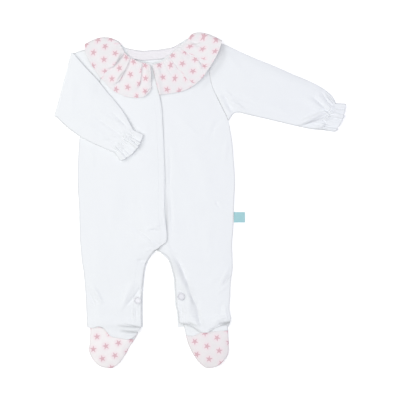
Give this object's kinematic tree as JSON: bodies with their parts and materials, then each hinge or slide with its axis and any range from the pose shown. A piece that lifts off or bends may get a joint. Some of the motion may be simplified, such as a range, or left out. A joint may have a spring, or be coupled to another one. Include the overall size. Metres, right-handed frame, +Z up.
{
  "type": "footed baby sleepsuit",
  "caption": "Footed long-sleeved baby sleepsuit laid flat, with a ruffle collar and printed feet and one sleeve folded over the front.",
  "frame": {"origin": "centre of the laid-out suit's box, on the surface it lies on", "axes": "+X to the wearer's left, +Y towards the head, +Z up out of the front"},
  "size_m": [0.4385, 0.5046, 0.0155],
  "materials": {
    "white_jersey": "fine soft cotton jersey, matt, cool white",
    "star_print": "thin woven cotton, off-white with a small dusty pink star repeat",
    "tape": "narrow woven cotton tape, white",
    "snap": "ring snap, pale satin",
    "aqua_tab": "fine woven ribbon loop, aqua, bare"
  },
  "bodies": {
    "root": {"back": "white_jersey", "front_right": "white_jersey", "front_left": "white_jersey", "sleeve_right": "white_jersey", "sleeve_left": "white_jersey", "cuff_right": "white_jersey", "cuff_left": "white_jersey", "ankle_band_right": "white_jersey", "ankle_band_left": "white_jersey", "neck_tape": "tape", "collar": "star_print", "foot_upper_right": "star_print", "foot_upper_left": "star_print", "sole_right": "star_print", "sole_left": "star_print", "snap_right": "snap", "snap_left": "snap", "side_tab": "aqua_tab"}
  },
  "joints": []
}
